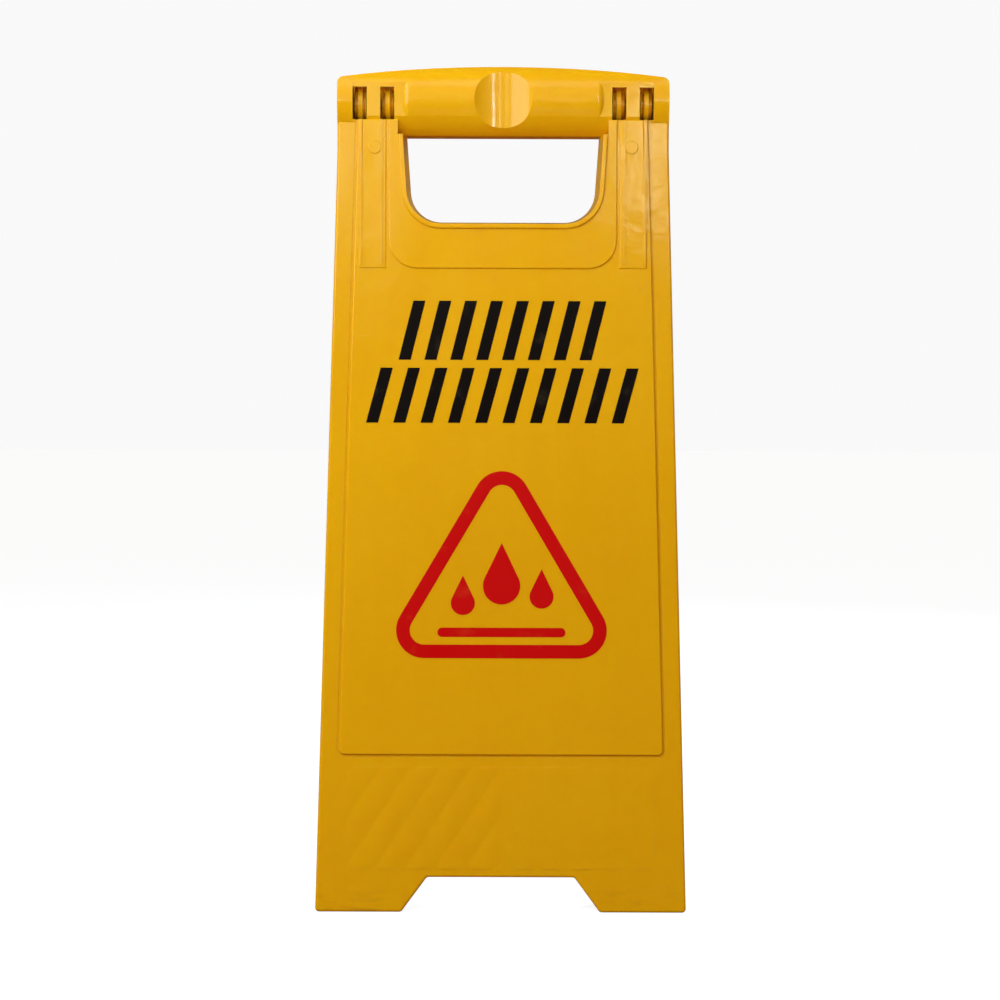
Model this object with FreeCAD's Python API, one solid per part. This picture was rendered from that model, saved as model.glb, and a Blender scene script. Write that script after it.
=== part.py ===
import FreeCAD, Part
import math
import os

# A folding floor sign: two moulded polypropylene panels hinged under a handle.
# Millimetres. +Z is up, the front face looks along -Y, and the origin is on the
# floor, in the middle of the folded sign.

# ---- overall size ----
HEIGHT = 635.0                 # floor to the highest point of the arched top
BASE_WIDTH = 280.0             # across the feet
TOP_WIDTH = 247.0              # across the straight upper part
FLARE_TOP_Z = 572.0            # the sides are upright above this height
CROWN_RISE = 9.0               # how far the top arches above its two ends
TOP_CORNER_RADIUS = 5.0

# ---- panel moulding ----
PANEL_DEPTH = 17.0             # flange face to the plane where the panels meet
MEETING_GAP = 0.3              # each panel stops this far short of that plane
WALL = 2.5
OUTER_EDGE_RADIUS = 2.0
STEP_EDGE_RADIUS = 1.1

# ---- feet ----
NOTCH_BASE_WIDTH = 150.0
NOTCH_TOP_WIDTH = 111.0
NOTCH_HEIGHT = 26.5
FOOT_CORNER_RADIUS = 3.0

# ---- message field, a low plateau with a fine groove round it ----
FIELD_TOP_Z = 594.5
FIELD_BOTTOM_Z = 119.5
FIELD_TOP_HALF = 108.0
FIELD_BOTTOM_HALF = 121.8
FIELD_RISE = 1.5
FIELD_CORNER_RADIUS = 4.0
GROOVE_WIDTH = 2.0
GROOVE_DEPTH = 0.5

# ---- raised surround of the handle opening, and the rails beside it ----
SURROUND_HALF = 85.0
SURROUND_BOTTOM_Z = 484.0
SURROUND_CORNER_RADIUS = 21.0
SURROUND_RISE = 2.7
RAIL_GAP = 1.8                 # groove between the surround and each rail
RAIL_RISE = 2.2
RAIL_MARGIN = 3.5              # rail edge inside the field edge
RAIL_CORNER_RADIUS = 2.0
RAIL_RIB_X = (89.6, 105.0)
RAIL_RIB_WIDTH = 1.6
RAIL_RIB_RISE = 0.5
RAIL_RIB_FOOT_GAP = 3.0        # the ribs stop this far above the rail's lower end
LOCATING_DOT = (95.5, 574.0)   # low round pad on each rail, x and z
LOCATING_DOT_RADIUS = 5.0
LOCATING_DOT_RISE = 0.7
LOCATING_DOT_EDGE_RADIUS = 0.6

# ---- handle opening ----
HOLE_TOP_Z = 583.5
HOLE_BOTTOM_Z = 520.0
HOLE_TOP_HALF = 72.0
HOLE_BOTTOM_HALF = 67.5
HOLE_CORNER_RADIUS = 23.0
HOLE_TOP_CORNER_RADIUS = 1.5
HOLE_DRAFT = 3.0               # the opening is this much wider at the face
LIP_WIDTH = 3.4
LIP_RISE = 4.2

# ---- handle bar, an elliptical half shell cut flat under and arched on top ----
BAR_CENTRE_Z = 609.5
BAR_SEMI_DEPTH = 21.5
BAR_SEMI_HEIGHT = 28.0
BAR_EDGE_RADIUS = 3.0
BAR_HALF_LENGTH = 75.5
BAR_END_RADIUS = 5.0           # the bar's ends are rounded over
SCOOP_WIDTH = 43.0             # upright hollow across the middle of the bar
SCOOP_DEPTH = 7.0
STUB_INNER_X = 112.0           # the bar's profile shows again outside this

# ---- hinge ----
AXIS_Z = 607.0
OPEN_ANGLE = 28.0
BEVEL_ANGLE = OPEN_ANGLE / 2 + 0.5
WINDOW_BOTTOM_Z = 594.5
WINDOW_TOP_Z = 618.5
WINDOW_INNER_X = 81.0
STRIP_INNER_X = 91.5
STRIP_OUTER_X = 101.5
REAR_WINDOW_INSET = 2.0        # the rear panel's windows are narrower than the strips
KNUCKLE_RADIUS = 9.0
LEAF_EYE_RADIUS = 14.5
LEAF_THICKNESS = 3.4
LEAF_FOOT_Z = 565.0
BARREL_RADIUS = 10.5           # wider round part on both sides of each leaf
BARREL_WIDTH = 8.4
SIDE_KNUCKLE_RADIUS = 8.0
SIDE_KNUCKLE_WIDTH = 4.0
SIDE_CLEARANCE = 0.6
BOSS_SIDE_GAP = 0.4
PIN_RADIUS = 3.5
PIN_RUNNING_CLEARANCE = 0.05
PIN_CHAMFER = 0.5
PIN_INSET = 0.4

# ---- ribs inside each panel ----
RIB_THICKNESS = 1.8
RIB_DEPTH = 7.0
CROSS_RIB_Z = (70.0, 150.0, 232.0, 314.0, 396.0, 478.0)
UPRIGHT_RIB_X = (-92.0, -46.0, 0.0, 46.0, 92.0)
BAR_RIB_X = (-52.0, -31.0, 31.0, 52.0)

# ---- chevron ripples above the feet ----
RIPPLE_TOP_Z = 110.0
RIPPLE_BOTTOM_Z = 33.0
RIPPLE_HALF_WIDTH = 116.0
RIPPLE_ANGLE = 57.0            # slope of each ripple from the horizontal
RIPPLE_PITCH = 22.7            # measured along a level line
RIPPLE_WIDTH = 17.9            # measured square to the ripple
RIPPLE_RISE = 0.35

# ---- printed film ----
FILM = 0.15
STRIPE_WIDTH = 9.0
STRIPE_PITCH = 19.4
STRIPE_LEAN = 11.0
UPPER_BAND_HALF = 77.5
UPPER_BAND_Z = (416.0, 460.0)
LOWER_BAND_HALF = 101.8
LOWER_BAND_Z = (369.0, 410.0)
TRIANGLE_BASE_Z = 192.5
TRIANGLE_HALF = 79.0
TRIANGLE_SLOPE = 59.5          # degrees from the base up to each side
TRIANGLE_STROKE = 10.2
TRIANGLE_CORNER_RADIUS = 21.0
DROPS = ((-29.0, 234.0, 9.0), (0.0, 247.0, 14.0), (30.0, 239.0, 9.0))  # x, z and radius
DROP_STRETCH = 2.3             # the tip's height over the centre, in radii
PUDDLE = (96.0, 7.0, 208.5)    # width, height and bottom z
PUDDLE_END_RADIUS = 3.4

# ---- shared by the functions below ----
FAR = 400.0                    # longer than the sign is wide
OVERLAP = 1.0                  # how far a cutting or rooted shape runs past a face
TOLERANCE = 0.01
BACK_Y = -MEETING_GAP
FACE_Y = -PANEL_DEPTH
FIELD_Y = FACE_Y - FIELD_RISE
RAIL_Y = FACE_Y - RAIL_RISE
SIDES = (-1, 1)


def arc_radius(chord, rise):
    """Radius of the arc that rises this much over a chord."""
    return ((chord / 2) ** 2 + rise ** 2) / (2 * rise)


def vec(x, y, z):
    return FreeCAD.Vector(x, y, z)


def box(x, y, z):
    """Box from three (low, high) pairs."""
    size = [pair[1] - pair[0] for pair in (x, y, z)]
    return Part.makeBox(size[0], size[1], size[2], vec(x[0], y[0], z[0]))


def x_cylinder(radius, x_low, x_high):
    """Cylinder on the hinge axis."""
    return Part.makeCylinder(radius, x_high - x_low, vec(x_low, 0, AXIS_Z), vec(1, 0, 0))


def both_sides(x_low, x_high):
    """The (low, high) ranges of a band on the left and on the right."""
    return ((-x_high, -x_low), (x_low, x_high))


def rounded_wire(corners, y):
    """Closed wire at depth y through (x, z, radius) corners, arcs at the corners."""
    entries = []
    count = len(corners)
    for i, (x, z, radius) in enumerate(corners):
        here = vec(x, y, z)
        before = vec(corners[i - 1][0], y, corners[i - 1][1]) - here
        after_corner = corners[(i + 1) % count]
        after = vec(after_corner[0], y, after_corner[1]) - here
        before.normalize()
        after.normalize()
        if radius == 0:
            entries.append((here, None, here))
            continue
        half_angle = before.getAngle(after) / 2
        reach = radius / math.tan(half_angle)
        bisector = before + after
        bisector.normalize()
        middle = here + bisector * (radius / math.sin(half_angle) - radius)
        entries.append((here + before * reach, middle, here + after * reach))
    edges = []
    for i, (start, middle, end) in enumerate(entries):
        if middle is not None:
            edges.append(Part.Arc(start, middle, end).toShape())
        edges.append(Part.LineSegment(end, entries[(i + 1) % count][0]).toShape())
    return Part.Wire(edges)


def prism(corners, y_low, y_high):
    """Solid between two depths with a rounded outline."""
    face = Part.Face(rounded_wire(corners, y_low))
    return face.extrude(vec(0, y_high - y_low, 0))


def mirrored(right_half):
    """Whole outline from its right half, listed from top to bottom."""
    left_half = [(-x, z, radius) for x, z, radius in reversed(right_half)]
    return right_half + left_half


def edges_at_depth(solid, y):
    """Edges that lie wholly at one depth."""
    found = []
    for edge in solid.Edges:
        bounds = edge.BoundBox
        if abs(bounds.YMin - y) < TOLERANCE and abs(bounds.YMax - y) < TOLERANCE:
            found.append(edge)
    return found


def plateau(corners, y_front):
    """Low raised area with rounded front edges, rooted in the panel's face."""
    solid = prism(corners, y_front, FACE_Y + OVERLAP)
    return solid.makeFillet(STEP_EDGE_RADIUS, edges_at_depth(solid, y_front))


# ---------------------------------------------------------------- outlines

def panel_outline(inset):
    """Panel below the handle bar; inset moves every edge into the material."""
    corner = FOOT_CORNER_RADIUS
    return mirrored([
        (TOP_WIDTH / 2 - inset, BAR_CENTRE_Z, 0),
        (TOP_WIDTH / 2 - inset, FLARE_TOP_Z, 0),
        (BASE_WIDTH / 2 - inset, inset, corner),
        (NOTCH_BASE_WIDTH / 2 + inset, inset, corner),
        (NOTCH_TOP_WIDTH / 2 + inset / 2, NOTCH_HEIGHT + inset, corner),
    ])


def field_outline(grow):
    return mirrored([
        (FIELD_TOP_HALF + grow, FIELD_TOP_Z, 0),
        (FIELD_BOTTOM_HALF + grow, FIELD_BOTTOM_Z - grow, FIELD_CORNER_RADIUS + grow),
    ])


def surround_outline():
    return mirrored([
        (SURROUND_HALF, FIELD_TOP_Z, 0),
        (SURROUND_HALF, SURROUND_BOTTOM_Z, SURROUND_CORNER_RADIUS),
    ])


def hole_outline(grow):
    return mirrored([
        (HOLE_TOP_HALF + grow, HOLE_TOP_Z + grow, HOLE_TOP_CORNER_RADIUS),
        (HOLE_BOTTOM_HALF + grow, HOLE_BOTTOM_Z - grow, HOLE_CORNER_RADIUS + grow),
    ])


def field_half_at(z):
    """Half width of the message field at height z."""
    share = (FIELD_TOP_Z - z) / (FIELD_TOP_Z - FIELD_BOTTOM_Z)
    return FIELD_TOP_HALF + share * (FIELD_BOTTOM_HALF - FIELD_TOP_HALF)


# ------------------------------------------------------------- panel blanks

def crown_disc(inset):
    """Big disc whose upper rim is the arched top of the sign."""
    radius = arc_radius(TOP_WIDTH, CROWN_RISE)
    centre = vec(0, -FAR, HEIGHT - radius)
    return Part.makeCylinder(radius - inset, 2 * FAR, centre, vec(0, 1, 0))


def scoop_cylinder(wall):
    """Upright cylinder that hollows the bar, grown by a wall."""
    radius = arc_radius(SCOOP_WIDTH, SCOOP_DEPTH)
    centre = vec(0, SCOOP_DEPTH - BAR_SEMI_DEPTH - radius, 0)
    return Part.makeCylinder(radius + wall, HEIGHT + OVERLAP, centre, vec(0, 0, 1))


def head_blank(half, inset):
    """The handle's half-elliptical profile, half wide each way."""
    depth = BAR_SEMI_DEPTH - inset
    height = BAR_SEMI_HEIGHT - inset
    profile = Part.Ellipse(vec(-half, 0, BAR_CENTRE_Z + height), vec(-half, -depth, BAR_CENTRE_Z),
                           vec(-half, 0, BAR_CENTRE_Z))
    blank = Part.Face(Part.Wire([profile.toShape()])).extrude(vec(2 * half, 0, 0))
    front_half = box((-FAR, FAR), (-FAR, 0), (HOLE_TOP_Z + inset, HEIGHT))
    return blank.common(front_half).common(crown_disc(inset))


def long_front_edges(head):
    """The head's top front edge and the one under the bar."""
    width = head.BoundBox.XLength
    return [e for e in head.Edges if e.BoundBox.XLength > width / 2 and e.BoundBox.YMax < -OVERLAP]


def end_profile_edges(head):
    """The curved front edge of each end of the head."""
    flat = [e for e in head.Edges if e.BoundBox.XLength < TOLERANCE]
    tall = [e for e in flat if e.BoundBox.ZLength > BAR_SEMI_HEIGHT / 2]
    return [e for e in tall if e.BoundBox.YLength > PANEL_DEPTH / 2]


def top_corner_edges(head):
    """The two short top corners that run front to back at the head's ends."""
    level = [e for e in head.Edges if max(e.BoundBox.XLength, e.BoundBox.ZLength) < TOLERANCE]
    return [e for e in level if e.BoundBox.ZMin > BAR_CENTRE_Z]


def head_outside():
    """Handle bar in the middle, a flat strip zone and a stub of bar at each end."""
    bar = head_blank(BAR_HALF_LENGTH, 0)
    bar = bar.makeFillet(BAR_END_RADIUS, end_profile_edges(bar))
    head = head_blank(TOP_WIDTH / 2, 0)
    head = head.makeFillet(TOP_CORNER_RADIUS, top_corner_edges(head))
    head = head.makeFillet(BAR_EDGE_RADIUS, long_front_edges(head))
    strip_zone = box((-STUB_INNER_X, STUB_INNER_X), (-FAR, RAIL_Y), (0, HEIGHT))
    return head.cut(strip_zone).fuse(head.common(bar)).cut(scoop_cylinder(0))


def bar_bay():
    """Space over the opening that belongs to the handle bar alone."""
    half = HOLE_TOP_HALF + HOLE_DRAFT + LIP_WIDTH
    return box((-half, half), (-FAR, FAR), (HOLE_TOP_Z, HEIGHT))


def body_outside():
    """Flanged body below the handle, open where the bar spans the opening."""
    body = prism(panel_outline(0), FACE_Y, 0)
    rim = [e for e in edges_at_depth(body, FACE_Y) if e.BoundBox.ZMin < BAR_CENTRE_Z - OVERLAP]
    return body.makeFillet(OUTER_EDGE_RADIUS, rim).cut(bar_bay())


def raised_areas():
    """Message field, opening surround, lip and rails, as one list of solids."""
    areas = [plateau(field_outline(0), FIELD_Y).cut(bar_bay())]
    areas.append(plateau(surround_outline(), FACE_Y - SURROUND_RISE).cut(bar_bay()))
    lip = prism(hole_outline(HOLE_DRAFT + LIP_WIDTH), FACE_Y - LIP_RISE, FACE_Y)
    lip = lip.makeFillet(STEP_EDGE_RADIUS, edges_at_depth(lip, FACE_Y - LIP_RISE))
    below_bar = box((-FAR, FAR), (-FAR, FAR), (0, HOLE_TOP_Z))
    areas.append(lip.common(below_bar))
    for side in SIDES:
        areas += rail(side)
    return areas


def rail(side):
    """One rail beside the surround, with its two fine ribs and its locating dot."""
    inner = side * (SURROUND_HALF + RAIL_GAP)
    pieces = [plateau([
        (inner, FIELD_TOP_Z, 0),
        (inner, SURROUND_BOTTOM_Z, 0),
        (side * (field_half_at(SURROUND_BOTTOM_Z) - RAIL_MARGIN), SURROUND_BOTTOM_Z, RAIL_CORNER_RADIUS),
        (side * (FIELD_TOP_HALF - RAIL_MARGIN), FIELD_TOP_Z, 0),
    ], RAIL_Y)]
    for rib_x in RAIL_RIB_X:
        x_range = sorted((side * rib_x, side * (rib_x + RAIL_RIB_WIDTH)))
        z_range = (SURROUND_BOTTOM_Z + RAIL_RIB_FOOT_GAP, FIELD_TOP_Z)
        pieces.append(box(x_range, (RAIL_Y - RAIL_RIB_RISE, FACE_Y), z_range))
    dot_front = vec(side * LOCATING_DOT[0], RAIL_Y - LOCATING_DOT_RISE, LOCATING_DOT[1])
    dot = Part.makeCylinder(LOCATING_DOT_RADIUS, RAIL_RISE, dot_front, vec(0, 1, 0))
    pieces.append(dot.makeFillet(LOCATING_DOT_EDGE_RADIUS, edges_at_depth(dot, dot_front.y)))
    return pieces


def chevron_ripples():
    """Shallow slanting ripples that mirror each other above the feet."""
    ripples = []
    slope = math.radians(RIPPLE_ANGLE)
    radius = arc_radius(RIPPLE_WIDTH, RIPPLE_RISE)
    depth = FACE_Y + radius - RIPPLE_RISE
    reach = FAR / 2
    first = -math.floor((RIPPLE_TOP_Z - RIPPLE_BOTTOM_Z) / math.tan(slope) / RIPPLE_PITCH) - 1
    last = math.ceil(RIPPLE_HALF_WIDTH / RIPPLE_PITCH)
    for side in SIDES:
        x_range = sorted((0, side * RIPPLE_HALF_WIDTH))
        zone = box(x_range, (FACE_Y - OVERLAP, FACE_Y + OVERLAP), (RIPPLE_BOTTOM_Z, RIPPLE_TOP_Z))
        for step in range(first, last):
            top_x = (step + 0.5) * RIPPLE_PITCH
            direction = vec(side * math.cos(slope), 0, -math.sin(slope))
            start = vec(side * top_x, depth, RIPPLE_TOP_Z) - direction * reach
            ripple = Part.makeCylinder(radius, 2 * reach, start, direction).common(zone)
            if ripple.Volume > 0:
                ripples.append(ripple)
    return ripples


# ------------------------------------------------------------ panel hollows

def rib_solids():
    """Material left standing inside the panel's hollow."""
    ribs = []
    rib_back = FACE_Y + WALL + RIB_DEPTH
    half = RIB_THICKNESS / 2
    for z in CROSS_RIB_Z:
        ribs.append(box((-FAR, FAR), (-FAR, rib_back), (z - half, z + half)))
    for x in UPRIGHT_RIB_X:
        ribs.append(box((x - half, x + half), (-FAR, rib_back), (0, SURROUND_BOTTOM_Z)))
    for x in BAR_RIB_X:
        ribs.append(box((x - half, x + half), (-FAR, FAR), (HOLE_TOP_Z, HEIGHT)))
    for x_range in both_sides(WINDOW_INNER_X - WALL, WINDOW_INNER_X):
        ribs.append(box(x_range, (-FAR, FAR), (HOLE_TOP_Z, HEIGHT)))
    for x_range in both_sides(STUB_INNER_X, STUB_INNER_X + WALL):
        ribs.append(box(x_range, (-FAR, FAR), (WINDOW_BOTTOM_Z, HEIGHT)))
    return ribs


def hollow():
    """Space inside the panel, open towards the other panel."""
    body = prism(panel_outline(WALL), FACE_Y + WALL, OVERLAP)
    body = body.fuse(prism(field_outline(-WALL), FIELD_Y + WALL, OVERLAP))
    head = head_blank(TOP_WIDTH / 2 - WALL, WALL)
    for x_range in both_sides(BAR_HALF_LENGTH - BAR_END_RADIUS, STUB_INNER_X + WALL):
        head = head.cut(box(x_range, (-FAR, RAIL_Y + WALL), (0, HEIGHT)))
    head = head.cut(scoop_cylinder(WALL))
    opening_wall = prism(hole_outline(HOLE_DRAFT + WALL), -FAR, FAR)
    bay_half = HOLE_TOP_HALF + HOLE_DRAFT + LIP_WIDTH + WALL
    under_bar = box((-bay_half, bay_half), (-FAR, FAR), (HOLE_TOP_Z, BAR_CENTRE_Z))
    body = body.cut([opening_wall, under_bar])
    return body.fuse(head).cut(rib_solids())


def handle_opening():
    """Drafted cut through the panel, a little wider at the face."""
    back = rounded_wire(hole_outline(0), OVERLAP)
    front = rounded_wire(hole_outline(HOLE_DRAFT), FACE_Y - LIP_RISE - OVERLAP)
    below_bar = box((-FAR, FAR), (-FAR, FAR), (0, HOLE_TOP_Z))
    return Part.makeLoft([front, back], True, True).common(below_bar)


def beyond_meeting_plane():
    """Everything behind the meeting plane and the bevel over the hinge axis."""
    rise = FAR / 2
    lean = rise * math.tan(math.radians(BEVEL_ANGLE))
    profile = [
        vec(-FAR, BACK_Y, -OVERLAP),
        vec(-FAR, BACK_Y, AXIS_Z),
        vec(-FAR, BACK_Y - lean, AXIS_Z + rise),
        vec(-FAR, FAR, AXIS_Z + rise),
        vec(-FAR, FAR, -OVERLAP),
        vec(-FAR, BACK_Y, -OVERLAP),
    ]
    return Part.Face(Part.makePolygon(profile)).extrude(vec(2 * FAR, 0, 0))


def windows(x_ranges):
    """Openings in the face that show the other panel's hinge leaves."""
    return [box(x, (-FAR, FACE_Y + WALL + OVERLAP), (WINDOW_BOTTOM_Z, WINDOW_TOP_Z)) for x in x_ranges]


def moulding(window_ranges):
    """A panel without its hinge leaves."""
    outside = body_outside().fuse([head_outside()] + raised_areas() + chevron_ripples())
    groove = prism(field_outline(GROOVE_WIDTH), -FAR, FACE_Y + GROOVE_DEPTH)
    groove = groove.cut(prism(field_outline(0), -FAR, FAR))
    shell = outside.cut([hollow(), handle_opening(), groove, beyond_meeting_plane()])
    return shell.cut(windows(window_ranges))


# -------------------------------------------------------------------- hinge

def mid_window_ranges(width):
    """A band this wide in the middle of each of the front panel's four windows."""
    inner_middle = (WINDOW_INNER_X + STRIP_INNER_X) / 2
    outer_middle = (STRIP_OUTER_X + STUB_INNER_X) / 2
    ranges = []
    for middle in (inner_middle, outer_middle):
        ranges += both_sides(middle - width / 2, middle + width / 2)
    return ranges


def leaf(x_range, eye_radius):
    """Plate from the panel's face to a round eye on the hinge axis."""
    profile = [
        vec(x_range[0], FACE_Y + OVERLAP, LEAF_FOOT_Z),
        vec(x_range[0], 0, AXIS_Z - eye_radius),
        vec(x_range[0], 0, AXIS_Z + eye_radius),
        vec(x_range[0], FACE_Y + OVERLAP, AXIS_Z + eye_radius),
        vec(x_range[0], FACE_Y + OVERLAP, LEAF_FOOT_Z),
    ]
    plate = Part.Face(Part.makePolygon(profile)).extrude(vec(x_range[1] - x_range[0], 0, 0))
    return plate.fuse(x_cylinder(eye_radius, x_range[0], x_range[1]))


def front_panel():
    """Panel with the pin bosses behind its strips."""
    window_ranges = both_sides(WINDOW_INNER_X, STRIP_INNER_X) + both_sides(STRIP_OUTER_X, STUB_INNER_X)
    additions = []
    for x_range in both_sides(STRIP_INNER_X + BOSS_SIDE_GAP, STRIP_OUTER_X - BOSS_SIDE_GAP):
        additions.append(leaf(x_range, KNUCKLE_RADIUS))
    for x_range in both_sides(WINDOW_INNER_X - WALL, WINDOW_INNER_X):
        additions.append(x_cylinder(SIDE_KNUCKLE_RADIUS, x_range[0], x_range[1]))
    for x_range in both_sides(TOP_WIDTH / 2 - SIDE_KNUCKLE_WIDTH, TOP_WIDTH / 2):
        additions.append(x_cylinder(SIDE_KNUCKLE_RADIUS, x_range[0], x_range[1]))
    panel = moulding(window_ranges).fuse(additions)
    bores = [x_cylinder(PIN_RADIUS, *x_range) for x_range in both_sides(BAR_HALF_LENGTH, FAR)]
    return panel.cut(bores).removeSplitter()


def rear_panel():
    """Panel with two leaves and their barrels a side, turned to face backwards."""
    panel = moulding(both_sides(STRIP_INNER_X + REAR_WINDOW_INSET, STRIP_OUTER_X - REAR_WINDOW_INSET))
    leaves = [leaf(x_range, LEAF_EYE_RADIUS) for x_range in mid_window_ranges(LEAF_THICKNESS)]
    leaves += [leaf(x_range, BARREL_RADIUS) for x_range in mid_window_ranges(BARREL_WIDTH)]
    panel = panel.fuse(leaves)
    clear_radius = SIDE_KNUCKLE_RADIUS + SIDE_CLEARANCE
    clearances = []
    for x_range in both_sides(WINDOW_INNER_X - WALL - SIDE_CLEARANCE, WINDOW_INNER_X + SIDE_CLEARANCE):
        clearances.append(x_cylinder(clear_radius, x_range[0], x_range[1]))
    knuckle_low = TOP_WIDTH / 2 - SIDE_KNUCKLE_WIDTH - SIDE_CLEARANCE
    for x_range in both_sides(knuckle_low, FAR):
        clearances.append(x_cylinder(clear_radius, x_range[0], x_range[1]))
    pin_way = PIN_RADIUS + PIN_RUNNING_CLEARANCE
    for x_range in both_sides(BAR_HALF_LENGTH, FAR):
        clearances.append(x_cylinder(pin_way, x_range[0], x_range[1]))
    return to_rear(panel.cut(clearances).removeSplitter())


def to_rear(shape):
    """Turn a front-facing shape half a turn about the upright axis."""
    turned = shape.copy()
    turned.rotate(vec(0, 0, 0), vec(0, 0, 1), 180)
    return turned


def hinge_pin(side):
    """Round pin driven in from the side of the sign."""
    inner = WINDOW_INNER_X - WALL
    outer = TOP_WIDTH / 2 - PIN_INSET
    low, high = sorted((side * inner, side * outer))
    pin = x_cylinder(PIN_RADIUS, low, high)
    rims = [e for e in pin.Edges if e.BoundBox.XLength < TOLERANCE]
    return pin.makeChamfer(PIN_CHAMFER, rims)


# -------------------------------------------------------------------- print

def stripe_band(half_width, z_range):
    """Row of slanting hazard stripes, as separate pieces of film."""
    span = 2 * half_width - STRIPE_WIDTH - STRIPE_LEAN
    count = round(span / STRIPE_PITCH) + 1
    pitch = span / (count - 1)
    stripes = []
    for i in range(count):
        left = -half_width + i * pitch
        corners = [
            (left, z_range[0], 0),
            (left + STRIPE_WIDTH, z_range[0], 0),
            (left + STRIPE_WIDTH + STRIPE_LEAN, z_range[1], 0),
            (left + STRIPE_LEAN, z_range[1], 0),
        ]
        stripes.append(prism(corners, FIELD_Y - FILM, FIELD_Y))
    return Part.makeCompound(stripes)


def triangle_outline(inset):
    """Triangle with rounded corners, its edges moved in by inset."""
    slope = math.radians(TRIANGLE_SLOPE)
    base_half = TRIANGLE_HALF + TRIANGLE_CORNER_RADIUS * (1 / math.tan(slope / 2) - 1)
    apex_z = TRIANGLE_BASE_Z + base_half * math.tan(slope)
    base_half -= inset / math.tan(slope / 2)
    apex_z -= inset / math.cos(slope)
    radius = TRIANGLE_CORNER_RADIUS - inset
    return [
        (0, apex_z, radius),
        (base_half, TRIANGLE_BASE_Z + inset, radius),
        (-base_half, TRIANGLE_BASE_Z + inset, radius),
    ]


def triangle_film():
    outer = prism(triangle_outline(0), FIELD_Y - FILM, FIELD_Y)
    inner = prism(triangle_outline(TRIANGLE_STROKE), FIELD_Y - OVERLAP, FIELD_Y + OVERLAP)
    return outer.cut(inner)


def drop(x, z, radius):
    """Falling drop: a round bottom and two straight sides up to a point."""
    tip_rise = radius * DROP_STRETCH
    touch = math.asin(radius / tip_rise)
    touch_x = radius * math.cos(touch)
    touch_z = z + radius * math.sin(touch)
    y = FIELD_Y - FILM
    left = vec(x - touch_x, y, touch_z)
    right = vec(x + touch_x, y, touch_z)
    tip = vec(x, y, z + tip_rise)
    edges = [
        Part.Arc(left, vec(x, y, z - radius), right).toShape(),
        Part.LineSegment(right, tip).toShape(),
        Part.LineSegment(tip, left).toShape(),
    ]
    return Part.Face(Part.Wire(edges)).extrude(vec(0, FILM, 0))


def symbol_film():
    """Three drops falling on a thin puddle."""
    pieces = [drop(x, z, radius) for x, z, radius in DROPS]
    width, height, low = PUDDLE
    right_half = [
        (width / 2, low + height, PUDDLE_END_RADIUS),
        (width / 2, low, PUDDLE_END_RADIUS),
    ]
    pieces.append(prism(mirrored(right_half), FIELD_Y - FILM, FIELD_Y))
    return Part.makeCompound(pieces)


# -------------------------------------------------------------------- output

def write(name, shape):
    shape.exportStep("parts/" + name + ".step")
    solids = len(shape.Solids)
    print(name, "solids", solids, "valid", shape.isValid(), "cm3", round(shape.Volume / 1000, 2))


def main():
    os.makedirs("parts", exist_ok=True)
    write("front_panel", front_panel())
    write("rear_panel", rear_panel())
    write("left_hinge_pin", hinge_pin(-1))
    write("right_hinge_pin", hinge_pin(1))
    films = {
        "upper_stripes": stripe_band(UPPER_BAND_HALF, UPPER_BAND_Z),
        "lower_stripes": stripe_band(LOWER_BAND_HALF, LOWER_BAND_Z),
        "warning_triangle": triangle_film(),
        "drop_symbol": symbol_film(),
    }
    for name, film in films.items():
        write("front_" + name, film)
        write("rear_" + name, to_rear(film))


main()
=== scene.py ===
import math
from typing import NamedTuple

import bpy
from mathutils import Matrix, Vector


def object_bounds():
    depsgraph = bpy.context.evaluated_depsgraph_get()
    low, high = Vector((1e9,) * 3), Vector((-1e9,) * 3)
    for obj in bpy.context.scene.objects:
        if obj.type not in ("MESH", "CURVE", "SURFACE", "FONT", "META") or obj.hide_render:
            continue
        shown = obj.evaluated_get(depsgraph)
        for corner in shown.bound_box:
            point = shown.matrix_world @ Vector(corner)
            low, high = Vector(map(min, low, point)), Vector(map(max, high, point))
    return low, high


# Looks for the folding floor sign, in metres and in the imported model's own frame.
# The front panel faces -Y, and the sign stands folded on the floor at z = 0.

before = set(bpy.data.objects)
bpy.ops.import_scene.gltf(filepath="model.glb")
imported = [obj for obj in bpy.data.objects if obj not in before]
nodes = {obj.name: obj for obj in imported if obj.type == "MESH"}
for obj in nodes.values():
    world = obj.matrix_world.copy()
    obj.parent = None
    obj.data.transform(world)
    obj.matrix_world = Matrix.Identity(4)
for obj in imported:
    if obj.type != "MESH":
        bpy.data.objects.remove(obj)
cad_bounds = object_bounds()
scene = bpy.context.scene
low_corner, high_corner = cad_bounds


# ---------------------------------------------------------- kinds of value

class Pattern(NamedTuple):
    """Solid noise, finer along an axis with more stretch, and how faded() remaps it."""
    scale: float                   # cells per metre
    span: tuple = (0.3, 0.7)       # faded() turns these two noise levels ...
    values: tuple = (0.0, 1.0)     # ... into these two values
    stretch: tuple = (1, 1, 1)
    detail: float = 3.0
    distortion: float = 0.0


class Relief(NamedTuple):
    """Bump made of a pattern whose full range is depth metres."""
    pattern: Pattern
    depth: float
    strength: float


class SoftBox(NamedTuple):
    """Rectangular light that points at its target."""
    name: str
    place: tuple
    target: tuple
    size: tuple
    watts: float
    colour: tuple = (1, 1, 1)
    spread: float = 180            # degrees
    in_gloss: bool = True          # whether gloss reflects it


# ------------------------------------------------------------------ camera

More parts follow.
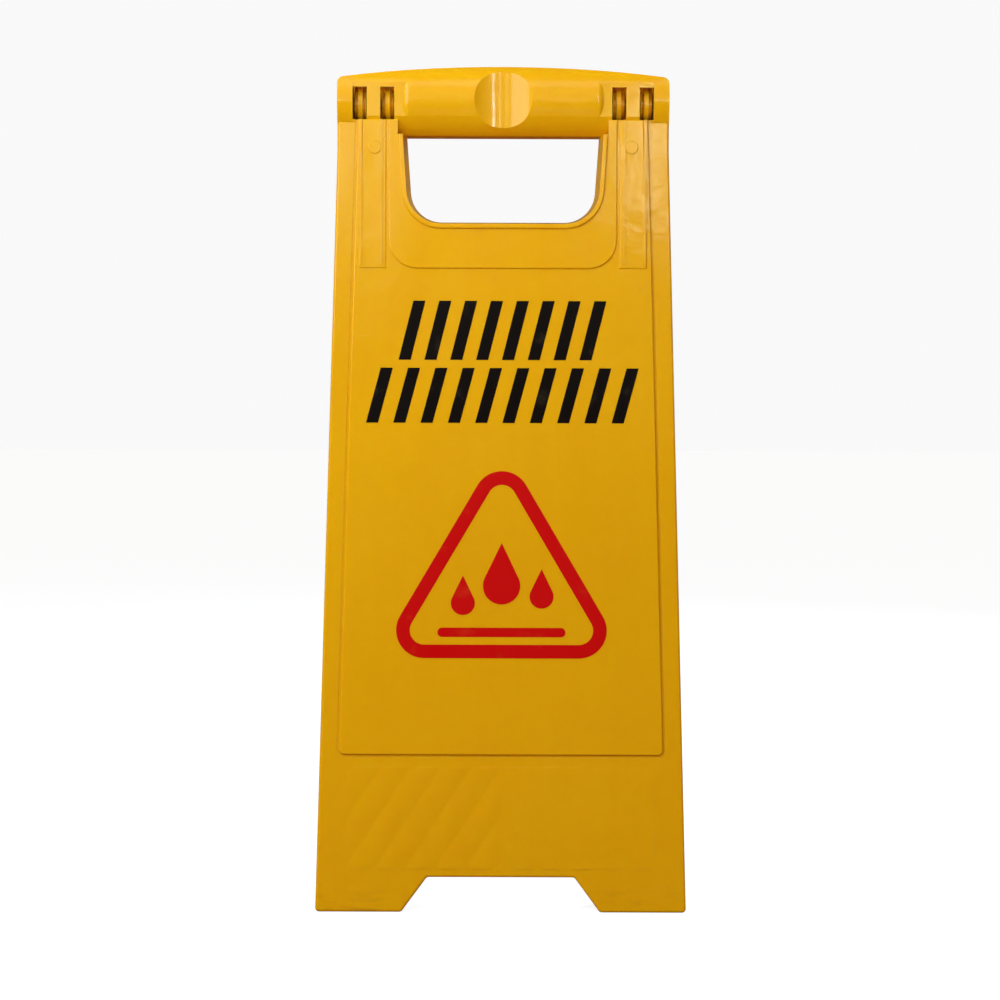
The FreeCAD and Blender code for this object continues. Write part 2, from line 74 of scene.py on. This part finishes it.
CAMERA_DISTANCE = 1.6          # from the sign's foremost point
CAMERA_PITCH = 2.0             # degrees that it looks down
CAMERA_ROLL = -0.2             # degrees; the sign leans a little in the picture
AIM_RIGHT = -0.0016            # where it aims, from the middle of the sign
AIM_UP = -0.006
PICTURE_WIDTH = 0.747          # what the picture spans at that distance
SENSOR_WIDTH = 36.0            # millimetres

# ------------------------------------------------ colours, as linear values

YELLOW = (0.80, 0.432, 0.003)
YELLOW_PALE = (0.82, 0.463, 0.004)
YELLOW_DEEP = (0.78, 0.398, 0.0025)
YELLOW_RUBBED = (0.80, 0.52, 0.10)
# darker orange: painted shade in the creases, with dust, and dirt on the scuffed feet
DIRT_AND_SHADE = (0.50, 0.235, 0.010)
BLACK_INK = (0.0025, 0.001, 0.001)
BLACK_INK_WORN = (0.05, 0.04, 0.02)
RED_INK = (0.58, 0.002, 0.0025)
RED_INK_WORN = (0.62, 0.05, 0.01)
WHITE = (1, 1, 1)

# ----------------------------------------------------------- yellow plastic

PLASTIC_SPECULAR = 0.3
PLASTIC_ROUGHNESS = Pattern(14.0, values=(0.09, 0.16), detail=5.0)
SCRATCH_ROUGHNESS = 0.12       # what a scratch and a rubbed edge add to that
EDGE_ROUGHNESS = 0.2

# how far light goes inside the plastic: red furthest and blue hardly at all
SCATTER_WEIGHT = 0.35
SCATTER_RADIUS = (1.0, 0.55, 0.05)
SCATTER_SCALE = 0.004

# the tone from 0, deep, to 1, pale, is the sum of these three
CLOUDS = Pattern(6.0, values=(0.0, 0.5))
FLOW = Pattern(5.0, values=(0.0, 0.3), stretch=(9, 9, 1), distortion=0.4)
MOTTLE = Pattern(130.0, values=(0.0, 0.2))

OCCLUSION_SAMPLES = 6
CREASE_REACH = 0.0015          # how near two walls have to be for painted shade and dust
CREASE_OPENNESS = (0.4, 0.9)   # from full painted shade and dust to none
# darkening in creases: painted shade, in patches like dust
CREASE_SHADE_AND_DUST = 0.05
SHADE_AND_DUST_PATCHES = Pattern(60.0, span=(0.35, 0.65), values=(0.4, 1.0))
EDGE_REACH = 0.0012            # how far from a convex edge the rubbing goes
EDGE_OPENNESS = (0.55, 0.95)   # from fully rubbed to not at all
EDGE_RUB = 0.4
EDGE_PATCHES = Pattern(90.0, span=(0.4, 0.62), values=(0.15, 1.0), detail=5.0)
SCUFFED_HEIGHT = 0.022         # how far up the feet the scuffs go
FOOT_SCUFFS = Pattern(45.0, span=(0.52, 0.66), values=(0.0, 0.45), stretch=(1, 1, 5), detail=6.0)

UPRIGHT_HAIRS = Pattern(22.0, stretch=(40, 1, 2), detail=2.0, distortion=0.15)
LEVEL_HAIRS = Pattern(22.0, stretch=(1.5, 1, 45), detail=2.0, distortion=0.2)
SCRATCH_SPAN = (0.68, 0.74)    # noise levels where a scratch begins and where it is full
BURR_HEIGHT = 0.00003          # how far its burr stands up
BURR_STRENGTH = 0.5

WARP = Relief(Pattern(9.0, stretch=(1.4, 1, 0.6), detail=1.0), depth=0.0035, strength=0.5)
DIMPLES = Relief(Pattern(75.0, detail=2.0), depth=0.0004, strength=0.5)
ORANGE_PEEL = Relief(Pattern(650.0, detail=1.5), depth=0.00006, strength=0.6)

# ------------------------------------------------------------ printed film

INK_SPECULAR = 0.08
INK_ROUGHNESS = Pattern(25.0, values=(0.30, 0.46), detail=4.0)
INK_RUBS = Pattern(55.0, span=(0.60, 0.74), values=(0.0, 0.35), detail=6.0)
PINHOLES = Pattern(1500.0, span=(0.66, 0.74), values=(0.0, 0.35), detail=2.0)
INK_GRAIN = Relief(Pattern(900.0, detail=2.0), depth=0.00003, strength=0.5)

# ------------------------------------------------------------------- floor

FLOOR_RADIUS = 30
FLOOR_SIDES = 96
FLOOR_SPECULAR = 0.1
FLOOR_ROUGHNESS = 0.8
FLOOR_SEEN = (0.30, 0.36, 0.42)    # for the camera: cool, so that it looks neutral in warm light
FLOOR_GLOW = 0.83                  # and for the camera it glows
FLOOR_BOUNCE = (0.22, 0.08, 0.02)  # what it gives back to the sign

# ------------------------------------------------------------ surroundings
# Spans of a direction's own coordinates: Z is 1 overhead, and Y is -1 in front of the sign.

BACKDROP = 0.95                # radiance that the camera sees, in plain white
SKY_TINT = (1.0, 0.82, 0.7)    # colour of the surroundings for everything else
SKY_SPAN = (-0.2, 1.0)         # span of Z over which they brighten
SKY_RADIANCE = (0.22, 0.55)    # from the first to the second
GLOSS_BRIGHT = 1.1             # radiance that gloss reflects from in front and above level
GLOSS_DARK = 0.12              # and from everywhere else
GLOSS_HEIGHT = (0.075, 0.17)   # spans of Z and Y over which it brightens
GLOSS_FRONT = (-0.5, -0.9)

# ------------------------------------------------------------------ lights

MIDDLE = (0, 0, 0.4)
MESSAGE = (0, 0, 0.5)
HANDLE = (0, 0, 0.62)
KEY_TINT = (0.94, 1.0, 1.0)
LAMP_TINT = (0.86, 1.0, 0.68)

SOFT_BOXES = (
    # name, place, target, size, watts, colour
    SoftBox("key", (-0.82, -0.98, 1.02), MIDDLE, (1.1, 1.1), 16.2, KEY_TINT),
    SoftBox("ceiling", (-0.2, -0.8, 1.6), MIDDLE, (0.9, 0.5), 2),
    SoftBox("low", (0, -1.5, 0.05), HANDLE, (0.4, 0.3), 0.12, spread=30, in_gloss=False),
    SoftBox("window", (0.78, -1.95, 0.95), MESSAGE, (0.03, 0.5), 5),
    SoftBox("lamp", (0.29, -2.2, 0.86), MESSAGE, (0.12, 0.18), 0.95, LAMP_TINT),
    SoftBox("far_lamp", (-0.30, -2.2, 0.86), MESSAGE, (0.16, 0.36), 0.8, LAMP_TINT),
    SoftBox("back", (1.1, 1.6, 1.5), MIDDLE, (0.8, 0.8), 24),
)


# ------------------------------------------------------------ node helpers

def add(tree, kind, **settings):
    """New node; its plain settings are attributes, the rest are its inputs."""
    made = tree.nodes.new(kind)
    for name, value in settings.items():
        if hasattr(made, name):
            setattr(made, name, value)
        else:
            made.inputs[name.replace("_", " ")].default_value = value
    return made


def feed(tree, target, value):
    """Gives an input a number, a colour or another node's output."""
    if isinstance(value, bpy.types.NodeSocket):
        tree.links.new(value, target)
    elif isinstance(value, tuple):
        target.default_value = (*value, 1)
    else:
        target.default_value = value


def new_material(name, specular):
    material = bpy.data.materials.new(name)
    material.use_nodes = True
    shader = material.node_tree.nodes["Principled BSDF"]
    shader.inputs["Specular IOR Level"].default_value = specular
    return material, material.node_tree, shader


def axes_of(tree, space):
    """X, Y and Z outputs of the texture coordinates of a space."""
    coordinates = add(tree, "ShaderNodeTexCoord")
    axes = add(tree, "ShaderNodeSeparateXYZ")
    feed(tree, axes.inputs["Vector"], coordinates.outputs[space])
    return axes.outputs


def noise(tree, pattern):
    """A pattern's plain noise, in the piece's own space."""
    coordinates = add(tree, "ShaderNodeTexCoord")
    mapping = add(tree, "ShaderNodeMapping", Scale=pattern.stretch)
    made = add(
        tree, "ShaderNodeTexNoise",
        Scale=pattern.scale, Detail=pattern.detail, Distortion=pattern.distortion,
    )
    feed(tree, mapping.inputs["Vector"], coordinates.outputs["Object"])
    feed(tree, made.inputs["Vector"], mapping.outputs["Vector"])
    return made.outputs["Fac"]


def remap(tree, source, span, values):
    """Turns the span's two ends into the two values, and holds them beyond the ends."""
    made = add(
        tree, "ShaderNodeMapRange",
        From_Min=span[0], From_Max=span[1], To_Min=values[0], To_Max=values[1],
    )
    feed(tree, made.inputs["Value"], source)
    return made.outputs["Result"]


def faded(tree, pattern):
    """A pattern's noise, remapped to its values."""
    return remap(tree, noise(tree, pattern), pattern.span, pattern.values)


def combine(tree, operation, first, second):
    """A math node of two outputs, or of an output and a number."""
    made = add(tree, "ShaderNodeMath", operation=operation)
    feed(tree, made.inputs[0], first)
    feed(tree, made.inputs[1], second)
    return made.outputs["Value"]


def mix_colour(tree, factor, first, second):
    """Blends two colours, each fixed or an output."""
    made = add(tree, "ShaderNodeMix", data_type="RGBA")
    feed(tree, made.inputs["Factor"], factor)
    first_input, second_input = [socket for socket in made.inputs if socket.type == "RGBA"]
    feed(tree, first_input, first)
    feed(tree, second_input, second)
    return [socket for socket in made.outputs if socket.type == "RGBA"][0]


def mix_value(tree, factor, first, second):
    """Blends two numbers, each fixed or an output."""
    made = add(tree, "ShaderNodeMix", data_type="FLOAT")
    feed(tree, made.inputs["Factor"], factor)
    feed(tree, made.inputs["A"], first)
    feed(tree, made.inputs["B"], second)
    return made.outputs["Result"]


def bump(tree, height, depth, strength, below=None):
    """Bump of a height map whose full range is depth metres, on the one below."""
    made = add(tree, "ShaderNodeBump", Strength=strength, Distance=depth)
    feed(tree, made.inputs["Height"], height)
    if below is not None:
        feed(tree, made.inputs["Normal"], below)
    return made.outputs["Normal"]


def reliefs(tree, *layers):
    """Bump layers on each other, the broadest first."""
    normal = None
    for layer in layers:
        normal = bump(tree, noise(tree, layer.pattern), layer.depth, layer.strength, normal)
    return normal


def openness(tree, reach, inside):
    """1 where nothing is within reach. It is less in creases, or with inside at convex edges."""
    made = add(
        tree, "ShaderNodeAmbientOcclusion",
        inside=inside, samples=OCCLUSION_SAMPLES, Distance=reach,
    )
    return made.outputs["AO"]


# --------------------------------------------------------------- materials

def moulded_tones(tree, pale, middle, deep):
    """Colour of plastic that flowed and cooled unevenly."""
    tone = combine(tree, "ADD", faded(tree, CLOUDS), faded(tree, FLOW))
    tone = combine(tree, "ADD", tone, faded(tree, MOTTLE))
    colour = mix_colour(tree, remap(tree, tone, (0.0, 0.5), (0.0, 1.0)), deep, middle)
    return mix_colour(tree, remap(tree, tone, (0.5, 1.0), (0.0, 1.0)), colour, pale)


def crease_shade_and_dust(tree):
    """How much painted shade darkens the creases, in patches as dust would lie."""
    crease = remap(tree, openness(tree, CREASE_REACH, False), CREASE_OPENNESS, (CREASE_SHADE_AND_DUST, 0.0))
    return combine(tree, "MULTIPLY", crease, faded(tree, SHADE_AND_DUST_PATCHES))


def foot_scuffs(tree):
    """How much the feet are scuffed, and less further up."""
    foot = remap(tree, axes_of(tree, "Object")["Z"], (0.0, SCUFFED_HEIGHT), (1.0, 0.0))
    return combine(tree, "MULTIPLY", foot, faded(tree, FOOT_SCUFFS))


def edge_wear(tree):
    """How much the convex edges are rubbed."""
    edge = remap(tree, openness(tree, EDGE_REACH, True), EDGE_OPENNESS, (EDGE_RUB, 0.0))
    return combine(tree, "MULTIPLY", edge, faded(tree, EDGE_PATCHES))


def hairline_scratches(tree):
    """1 in fine scratches that run in two directions."""
    hairs = combine(tree, "MAXIMUM", noise(tree, UPRIGHT_HAIRS), noise(tree, LEVEL_HAIRS))
    return remap(tree, hairs, SCRATCH_SPAN, (0.0, 1.0))


def plastic_roughness(tree, scratch, edge):
    """Patchy roughness, and more of it in scratches and on rubbed edges."""
    scratched = combine(tree, "MULTIPLY", scratch, SCRATCH_ROUGHNESS)
    rubbed = combine(tree, "MULTIPLY", edge, EDGE_ROUGHNESS)
    return combine(tree, "ADD", combine(tree, "ADD", faded(tree, PLASTIC_ROUGHNESS), scratched), rubbed)


def yellow_plastic(name, pale, middle, deep):
    """Moulded polypropylene with painted shade and dust in the creases, scuffs, rubbed edges, scratches
    and an uneven surface.
    """
    material, tree, shader = new_material(name, PLASTIC_SPECULAR)
    edge = edge_wear(tree)
    scratch = hairline_scratches(tree)

    colour = moulded_tones(tree, pale, middle, deep)
    # painted shade, with dust, darkens the creases
    colour = mix_colour(tree, crease_shade_and_dust(tree), colour, DIRT_AND_SHADE)
    colour = mix_colour(tree, foot_scuffs(tree), colour, DIRT_AND_SHADE)
    colour = mix_colour(tree, edge, colour, YELLOW_RUBBED)
    feed(tree, shader.inputs["Base Color"], colour)

    shader.inputs["Subsurface Weight"].default_value = SCATTER_WEIGHT
    shader.inputs["Subsurface Radius"].default_value = SCATTER_RADIUS
    shader.inputs["Subsurface Scale"].default_value = SCATTER_SCALE

    feed(tree, shader.inputs["Roughness"], plastic_roughness(tree, scratch, edge))
    surface = reliefs(tree, WARP, DIMPLES, ORANGE_PEEL)
    feed(tree, shader.inputs["Normal"], bump(tree, scratch, BURR_HEIGHT, BURR_STRENGTH, surface))
    return material


def film(name, ink, worn):
    """Heat transfer print: ink with rubbed spots, pinholes and a fine grain."""
    material, tree, shader = new_material(name, INK_SPECULAR)
    wear = combine(tree, "MAXIMUM", faded(tree, INK_RUBS), faded(tree, PINHOLES))
    feed(tree, shader.inputs["Base Color"], mix_colour(tree, wear, ink, worn))
    feed(tree, shader.inputs["Roughness"], faded(tree, INK_ROUGHNESS))
    feed(tree, shader.inputs["Normal"], reliefs(tree, WARP, INK_GRAIN))
    return material


def paint():
    """Gives every CAD node the material that its name's last word stands for."""
    yellow = yellow_plastic("yellow_plastic", YELLOW_PALE, YELLOW, YELLOW_DEEP)
    pins = yellow_plastic("pin_plastic", YELLOW, YELLOW_DEEP, YELLOW_DEEP)
    black = film("black_film", BLACK_INK, BLACK_INK_WORN)
    red = film("red_film", RED_INK, RED_INK_WORN)
    finishes = {"panel": yellow, "pin": pins, "stripes": black, "triangle": red, "symbol": red}
    for name, node in nodes.items():
        word = name.split("_")[-1]
        node.data.materials.clear()
        node.data.materials.append(finishes[word])


# ------------------------------------------------------------------ studio

def add_soft_box(box):
    data = bpy.data.lights.new(box.name, "AREA")
    data.shape = "RECTANGLE"
    data.size, data.size_y = box.size
    data.energy = box.watts
    data.color = box.colour
    data.spread = math.radians(box.spread)
    light = bpy.data.objects.new(box.name, data)
    light.location = box.place
    light.rotation_mode = "QUATERNION"
    light.rotation_quaternion = (Vector(box.target) - Vector(box.place)).to_track_quat("-Z", "Y")
    light.visible_glossy = box.in_gloss
    scene.collection.objects.link(light)


def build_world():
    """Soft surroundings, brighter overhead, in front of a plain pale backdrop."""
    world = bpy.data.worlds.new("studio")
    world.use_nodes = True
    tree = world.node_tree
    background = tree.nodes["Background"]
    ray = add(tree, "ShaderNodeLightPath").outputs
    direction = axes_of(tree, "Generated")

    sky = remap(tree, direction["Z"], SKY_SPAN, SKY_RADIANCE)
    above = remap(tree, direction["Z"], GLOSS_HEIGHT, (0.0, GLOSS_BRIGHT - GLOSS_DARK))
    ahead = remap(tree, direction["Y"], GLOSS_FRONT, (0.0, 1.0))
    gloss = combine(tree, "ADD", combine(tree, "MULTIPLY", above, ahead), GLOSS_DARK)
    lighting = mix_value(tree, ray["Is Glossy Ray"], sky, gloss)
    feed(tree, background.inputs["Strength"], mix_value(tree, ray["Is Camera Ray"], lighting, BACKDROP))
    feed(tree, background.inputs["Color"], mix_colour(tree, ray["Is Camera Ray"], SKY_TINT, WHITE))
    scene.world = world


def build_floor():
    """Plain pale floor, which returns less light to the sign than the camera sees."""
    bpy.ops.mesh.primitive_circle_add(vertices=FLOOR_SIDES, radius=FLOOR_RADIUS, fill_type="NGON")
    floor = bpy.context.object
    floor.name = "floor"
    material, tree, shader = new_material("floor", FLOOR_SPECULAR)
    seen = add(tree, "ShaderNodeLightPath").outputs["Is Camera Ray"]
    feed(tree, shader.inputs["Base Color"], mix_colour(tree, seen, FLOOR_BOUNCE, FLOOR_SEEN))
    feed(tree, shader.inputs["Emission Color"], WHITE)
    feed(tree, shader.inputs["Emission Strength"], combine(tree, "MULTIPLY", seen, FLOOR_GLOW))
    shader.inputs["Roughness"].default_value = FLOOR_ROUGHNESS
    floor.data.materials.append(material)


def build_lights():
    for box in SOFT_BOXES:
        add_soft_box(box)


def build_camera():
    """Photograph's view of the front, with colours shown as they are."""
    target = Vector((AIM_RIGHT, low_corner.y, high_corner.z / 2 + AIM_UP))
    pitch = math.radians(CAMERA_PITCH)
    back = Vector((0, -math.cos(pitch), math.sin(pitch)))
    data = bpy.data.cameras.new("camera")
    data.sensor_width = SENSOR_WIDTH
    data.lens = SENSOR_WIDTH * CAMERA_DISTANCE / PICTURE_WIDTH
    camera = bpy.data.objects.new("camera", data)
    camera.location = target + back * CAMERA_DISTANCE
    camera.rotation_euler = (math.pi / 2 - pitch, math.radians(CAMERA_ROLL), 0)
    scene.collection.objects.link(camera)
    scene.camera = camera
    scene.view_settings.view_transform = "Standard"


build_world()
build_floor()
build_lights()
build_camera()
paint()
